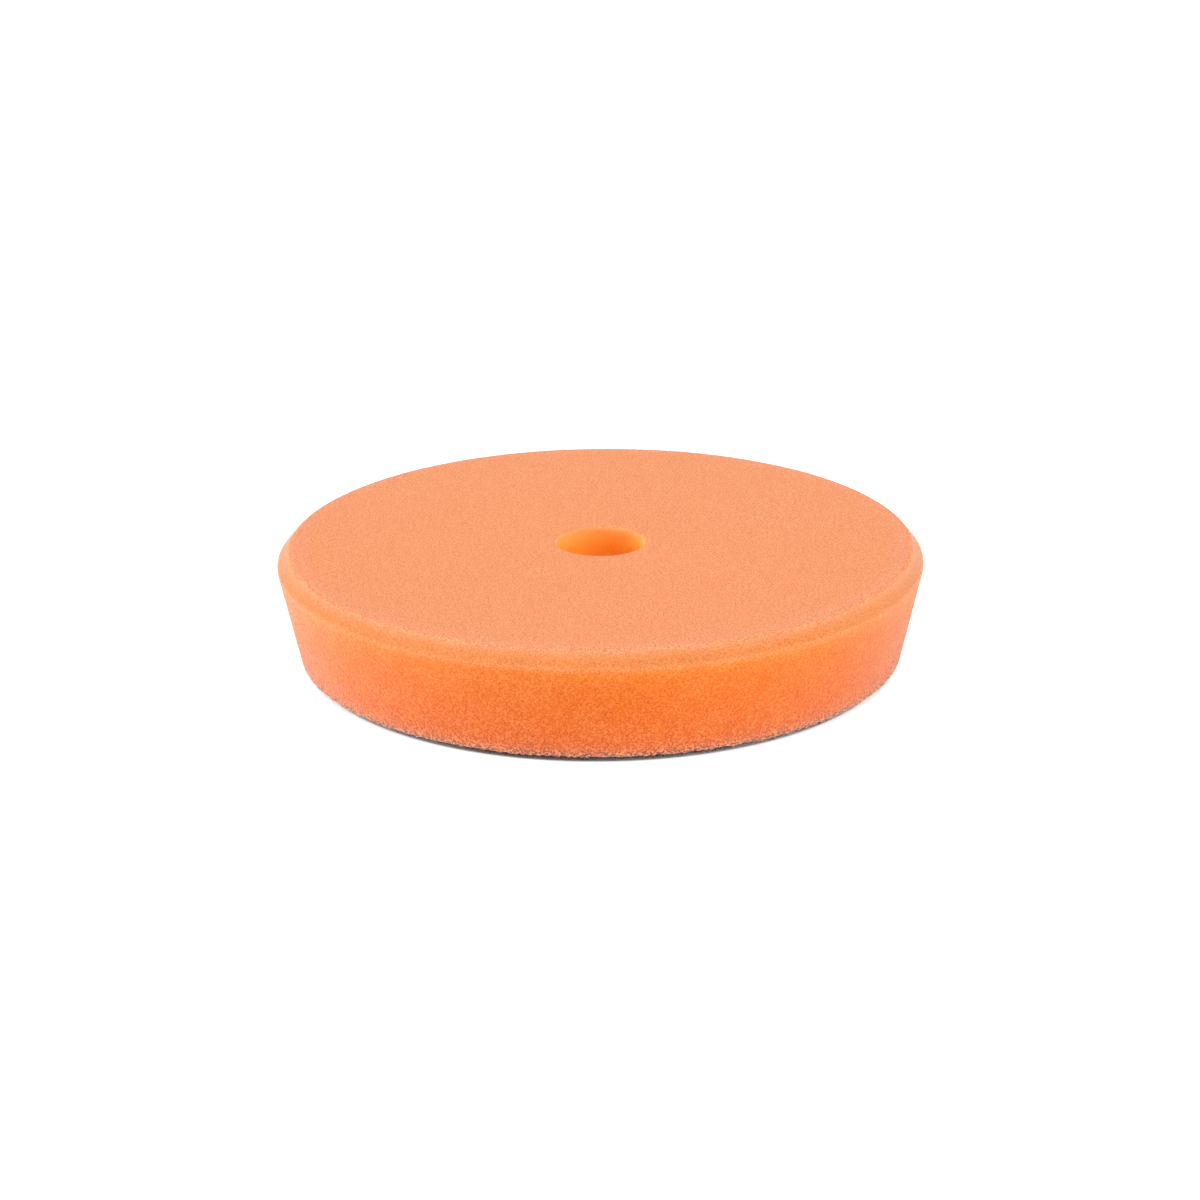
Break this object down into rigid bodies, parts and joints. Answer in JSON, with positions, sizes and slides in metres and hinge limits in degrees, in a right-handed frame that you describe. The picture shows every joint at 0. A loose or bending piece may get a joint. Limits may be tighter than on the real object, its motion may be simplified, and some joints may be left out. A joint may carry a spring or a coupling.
{
  "type": "polishing pad",
  "caption": "Round foam polishing pad with a bevelled face, a side that tapers in to the base, a centre hole and a loop-fabric back that a hook-faced plate grips.",
  "frame": {"origin": "centre of the loop backing's lower face, on the axis of the centre hole", "axes": "+Z out of the polishing face, along the axis of the centre hole; the pad is round, so X and Y are alike"},
  "size_m": [0.1498, 0.1498, 0.0276],
  "materials": {
    "foam": "matt open-cell polyurethane foam, orange right through, with fine cells",
    "adhesive": "thin smoke-tinted hot-melt film",
    "ground_knit": "fine warm dark grey warp knit",
    "loop_yarn": "brushed warm dark grey loops with a soft sheen"
  },
  "bodies": {
    "root": {"foam_body": "foam", "adhesive_film": "adhesive", "loop_ground": "ground_knit", "loop_pile": "loop_yarn"}
  },
  "joints": []
}
